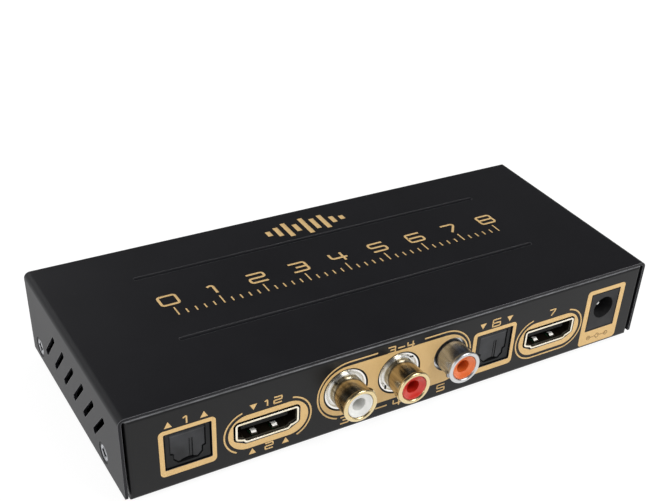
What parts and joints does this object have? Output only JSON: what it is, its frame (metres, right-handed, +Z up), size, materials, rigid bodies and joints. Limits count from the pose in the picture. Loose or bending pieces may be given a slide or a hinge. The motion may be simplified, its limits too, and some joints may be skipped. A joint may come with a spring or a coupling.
{
  "type": "hdmi audio extractor",
  "caption": "Flat black sheet-metal box with a row of optical, video, phono and power sockets along one long side and small controls along the other.",
  "frame": {"origin": "middle of the object's box in X and Y, on the plane that the feet stand on", "axes": "+X along the port face, to the right as it is looked at; -Y out of the port face; +Z up"},
  "size_m": [0.138, 0.0678, 0.0233],
  "materials": {
    "top_cover": "fine satin black paint",
    "base_tray": "fine satin black paint with a gold print",
    "cover_screws": "nickel plate",
    "rubber_feet": "matt black",
    "circuit_board": "green solder mask",
    "board_standoffs": "plain turned brass",
    "board_screws": "nickel plate",
    "optical_out_housing": "moulded black",
    "optical_out_door": "moulded black",
    "optical_out_emitter": "clear red epoxy",
    "optical_in_housing": "moulded black",
    "optical_in_door": "moulded black",
    "optical_in_receiver": "dark epoxy",
    "video_out_shell": "pale gold plate",
    "video_out_core": "moulded black",
    "video_out_contacts": "gold plate",
    "video_in_shell": "pale gold plate",
    "video_in_core": "moulded black",
    "video_in_contacts": "gold plate",
    "stereo_jack_housing": "moulded black",
    "left_jack_barrel": "pale gold plate",
    "left_jack_insert": "moulded white",
    "left_jack_contact": "nickel plate",
    "right_jack_barrel": "pale gold plate",
    "right_jack_insert": "moulded red",
    "right_jack_contact": "nickel plate",
    "coax_jack_housing": "moulded black",
    "coax_jack_barrel": "nickel plate",
    "coax_jack_insert": "moulded orange",
    "coax_jack_contact": "nickel plate",
    "power_jack_housing": "moulded black",
    "power_jack_pin": "nickel plate",
    "power_jack_spring": "nickel plate",
    "infrared_window": "dark red, lets infrared through",
    "infrared_receiver": "dark epoxy",
    "power_light": "red diffused epoxy",
    "status_lights": "clear epoxy",
    "source_button_cap": "moulded black",
    "source_button_plunger": "moulded white",
    "source_switch_body": "tinned frame",
    "mode_button_cap": "moulded black",
    "mode_button_plunger": "moulded white",
    "mode_switch_body": "tinned frame",
    "slide_switch_housing": "tinned frame",
    "slide_switch_knob": "moulded black",
    "video_chip": "moulded epoxy",
    "audio_chip": "moulded epoxy",
    "control_chip": "moulded epoxy",
    "voltage_regulators": "moulded epoxy",
    "capacitors": "drawn can",
    "power_coil": "ferrite",
    "clock_crystals": "drawn can"
  },
  "bodies": {
    "casing": {"top_cover": "top_cover", "base_tray": "base_tray", "cover_screws": "cover_screws", "rubber_feet": "rubber_feet", "circuit_board": "circuit_board", "board_standoffs": "board_standoffs", "board_screws": "board_screws", "optical_out_housing": "optical_out_housing", "optical_out_emitter": "optical_out_emitter", "optical_in_housing": "optical_in_housing", "optical_in_receiver": "optical_in_receiver", "video_out_shell": "video_out_shell", "video_out_core": "video_out_core", "video_out_contacts": "video_out_contacts", "video_in_shell": "video_in_shell", "video_in_core": "video_in_core", "video_in_contacts": "video_in_contacts", "stereo_jack_housing": "stereo_jack_housing", "left_jack_barrel": "left_jack_barrel", "left_jack_insert": "left_jack_insert", "left_jack_contact": "left_jack_contact", "right_jack_barrel": "right_jack_barrel", "right_jack_insert": "right_jack_insert", "right_jack_contact": "right_jack_contact", "coax_jack_housing": "coax_jack_housing", "coax_jack_barrel": "coax_jack_barrel", "coax_jack_insert": "coax_jack_insert", "coax_jack_contact": "coax_jack_contact", "power_jack_housing": "power_jack_housing", "power_jack_pin": "power_jack_pin", "power_jack_spring": "power_jack_spring", "infrared_window": "infrared_window", "infrared_receiver": "infrared_receiver", "power_light": "power_light", "status_lights": "status_lights", "source_switch_body": "source_switch_body", "mode_switch_body": "mode_switch_body", "slide_switch_housing": "slide_switch_housing", "video_chip": "video_chip", "audio_chip": "audio_chip", "control_chip": "control_chip", "voltage_regulators": "voltage_regulators", "capacitors": "capacitors", "power_coil": "power_coil", "clock_crystals": "clock_crystals"},
    "optical_out_shutter": {"optical_out_door": "optical_out_door"},
    "optical_in_shutter": {"optical_in_door": "optical_in_door"},
    "source_button": {"source_button_cap": "source_button_cap", "source_button_plunger": "source_button_plunger"},
    "mode_button": {"mode_button_cap": "mode_button_cap", "mode_button_plunger": "mode_button_plunger"},
    "format_slide": {"slide_switch_knob": "slide_switch_knob"}
  },
  "joints": [
    {"name": "optical_out_hinge", "type": "hinge", "parent": "casing", "child": "optical_out_shutter", "pos_m": [-0.0548, -0.02627, 0.01488], "axis": [1, 0, 0], "range_deg": [0, 80], "stiffness_Nm_per_rad": 0.00005, "springref_deg": -17.19},
    {"name": "optical_in_hinge", "type": "hinge", "parent": "casing", "child": "optical_in_shutter", "pos_m": [0.023, -0.02627, 0.01488], "axis": [1, 0, 0], "range_deg": [0, 80], "stiffness_Nm_per_rad": 0.00005, "springref_deg": -17.19},
    {"name": "source_button_press", "type": "slide", "parent": "casing", "child": "source_button", "axis": [0, -1, 0], "range_m": [0, 0.00035], "stiffness_N_per_m": 200, "springref_m": -0.0005},
    {"name": "mode_button_press", "type": "slide", "parent": "casing", "child": "mode_button", "axis": [0, -1, 0], "range_m": [0, 0.00035], "stiffness_N_per_m": 200, "springref_m": -0.0005},
    {"name": "format_slide_travel", "type": "slide", "parent": "casing", "child": "format_slide", "axis": [1, 0, 0], "range_m": [-0.002, 0.002]}
  ]
}
